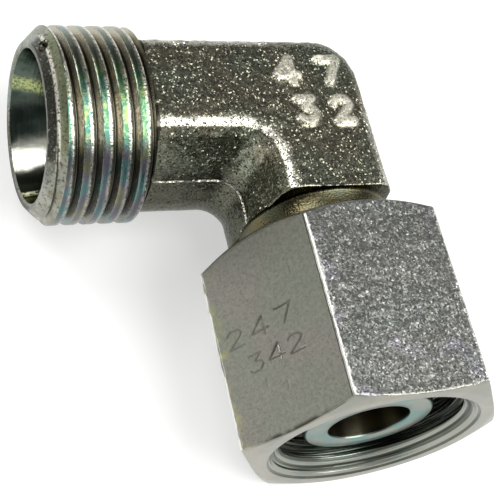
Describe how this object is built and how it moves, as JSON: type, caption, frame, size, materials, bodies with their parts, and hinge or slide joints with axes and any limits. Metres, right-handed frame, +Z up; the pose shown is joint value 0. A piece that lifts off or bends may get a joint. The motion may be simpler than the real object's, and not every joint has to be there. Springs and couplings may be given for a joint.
{
  "type": "hydraulic elbow adapter",
  "caption": "90 degree hydraulic tube elbow, 24 degree cone: threaded male end on one arm, cone nipple with a hexagon swivel nut on the other.",
  "frame": {"origin": "centre of the tube stop inside the male end, on the male arm's axis, 15.6 mm from the crossing of the two arm axes", "axes": "-X out of the male end, -Y out of the nut end, +Z up with the part lying on a flat of its nut, as in the picture"},
  "size_m": [0.0336, 0.0369, 0.0192],
  "materials": {
    "forged_zinc": "forged steel, zinc plated and passivated, grainy, machined bright at both ends",
    "nut_zinc": "drawn hexagon steel, zinc plated and passivated, satin",
    "spring_wire": "drawn round wire",
    "seal_rubber": "moulded black rubber"
  },
  "bodies": {
    "elbow": {"elbow_body": "forged_zinc", "retaining_ring": "spring_wire", "o_ring": "seal_rubber"},
    "nut": {"swivel_nut": "nut_zinc"}
  },
  "joints": [
    {"name": "nut_spin", "type": "hinge", "parent": "elbow", "child": "nut", "pos_m": [0.0156, -0.017, 0], "axis": [0, -1, 0], "continuous": true}
  ]
}
